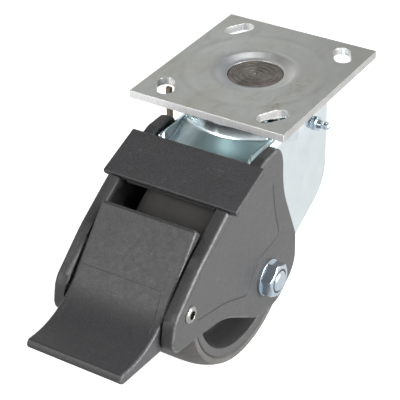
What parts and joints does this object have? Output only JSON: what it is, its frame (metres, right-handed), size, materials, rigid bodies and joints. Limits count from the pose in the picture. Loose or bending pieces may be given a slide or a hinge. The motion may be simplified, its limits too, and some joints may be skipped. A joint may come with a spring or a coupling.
{
  "type": "swivel castor",
  "caption": "Swivel castor with a slotted top plate, a double ball raceway, a pressed fork, a tyred wheel and a foot-operated wheel brake in a moulded housing.",
  "frame": {"origin": "centre of the top plate's mounting face, on the swivel axis", "axes": "+Z out of the mounting face, upwards; +X along the wheel's axle towards the nut; -Y towards the brake pedal, the way the wheel trails"},
  "size_m": [0.1045, 0.2496, 0.1643],
  "materials": {
    "zinc_steel": "zinc plated, satin",
    "bright_zinc_steel": "bright zinc plated",
    "bare_steel": "turned, bare",
    "ball_steel": "ground and polished",
    "yellow_steel": "yellow passivated",
    "black_nylon": "moulded, fine grain",
    "dark_rubber": "satin"
  },
  "bodies": {
    "plate": {"top_plate": "zinc_steel", "kingpin": "bare_steel", "lower_race": "zinc_steel", "kingpin_nut": "zinc_steel"},
    "swivel": {"fork": "zinc_steel", "grease_nipple": "bright_zinc_steel", "stop_finger": "yellow_steel", "axle_sleeve": "ball_steel", "thrust_washers": "zinc_steel", "axle_bolt": "bright_zinc_steel", "axle_washers": "bright_zinc_steel", "axle_nut": "bright_zinc_steel", "left_cheek": "black_nylon", "right_cheek": "black_nylon", "bridge": "black_nylon", "pivot_pin": "bright_zinc_steel"},
    "wheel": {"wheel_core": "black_nylon", "tyre": "dark_rubber"},
    "rollers": {"roller_cage": "ball_steel", "bearing_rollers": "ball_steel"},
    "brake_pedal": {"pedal": "black_nylon"},
    "upper_ball_set": {"upper_balls": "ball_steel"},
    "lower_ball_set": {"lower_balls": "ball_steel"}
  },
  "joints": [
    {"name": "swivel_turn", "type": "hinge", "parent": "plate", "child": "swivel", "pos_m": [0, 0, 0], "axis": [0, 0, 1], "continuous": true},
    {"name": "wheel_spin", "type": "hinge", "parent": "swivel", "child": "wheel", "pos_m": [0, -0.0553, -0.1008], "axis": [1, 0, 0], "continuous": true},
    {"name": "roller_orbit", "type": "hinge", "parent": "swivel", "child": "rollers", "pos_m": [0, -0.0553, -0.1008], "axis": [1, 0, 0], "continuous": true},
    {"name": "pedal_press", "type": "hinge", "parent": "swivel", "child": "brake_pedal", "pos_m": [0, -0.13837, -0.07333], "axis": [1, 0, 0], "range_deg": [0, 14]},
    {"name": "upper_ball_orbit", "type": "hinge", "parent": "plate", "child": "upper_ball_set", "pos_m": [0, 0, 0], "axis": [0, 0, 1], "continuous": true},
    {"name": "lower_ball_orbit", "type": "hinge", "parent": "plate", "child": "lower_ball_set", "pos_m": [0, 0, 0], "axis": [0, 0, 1], "continuous": true}
  ],
  "couplings": [
    {"joint": "roller_orbit", "follows": "wheel_spin", "ratio": 0.6025},
    {"joint": "upper_ball_orbit", "follows": "swivel_turn", "ratio": 0.5},
    {"joint": "lower_ball_orbit", "follows": "swivel_turn", "ratio": 0.5}
  ]
}
